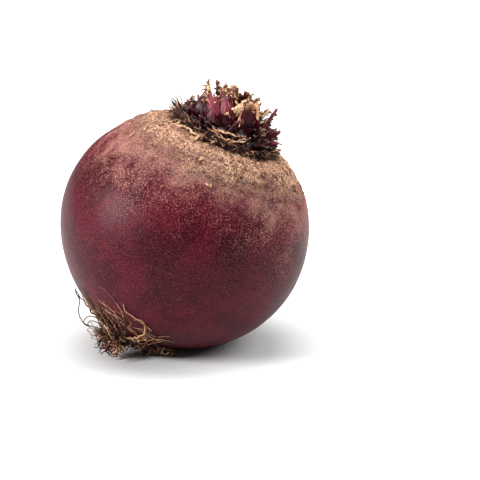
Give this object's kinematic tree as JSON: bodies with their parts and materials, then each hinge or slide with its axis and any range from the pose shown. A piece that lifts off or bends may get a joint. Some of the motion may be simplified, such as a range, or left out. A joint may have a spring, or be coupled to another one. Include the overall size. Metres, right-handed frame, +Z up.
{
  "type": "beetroot",
  "caption": "Whole round beetroot at rest: a swollen root with a corky shoulder, torn leaf stalks in a dry collar at the crown, and a tuft of fine roots at the tail.",
  "frame": {"origin": "on the surface the root rests on, at the middle of its flat spot, below the middle of the root", "axes": "+Z up; the crown leans towards +X and the tail's tuft lies low towards -X and -Y"},
  "size_m": [0.084, 0.0836, 0.0893],
  "materials": {
    "skin": null,
    "stalk": null,
    "husk": null,
    "rootlet": null
  },
  "bodies": {
    "root": {"swollen_root": "skin", "leaf_stalks": "stalk", "dry_leaf_collar": "husk", "fine_roots": "rootlet"}
  },
  "joints": []
}
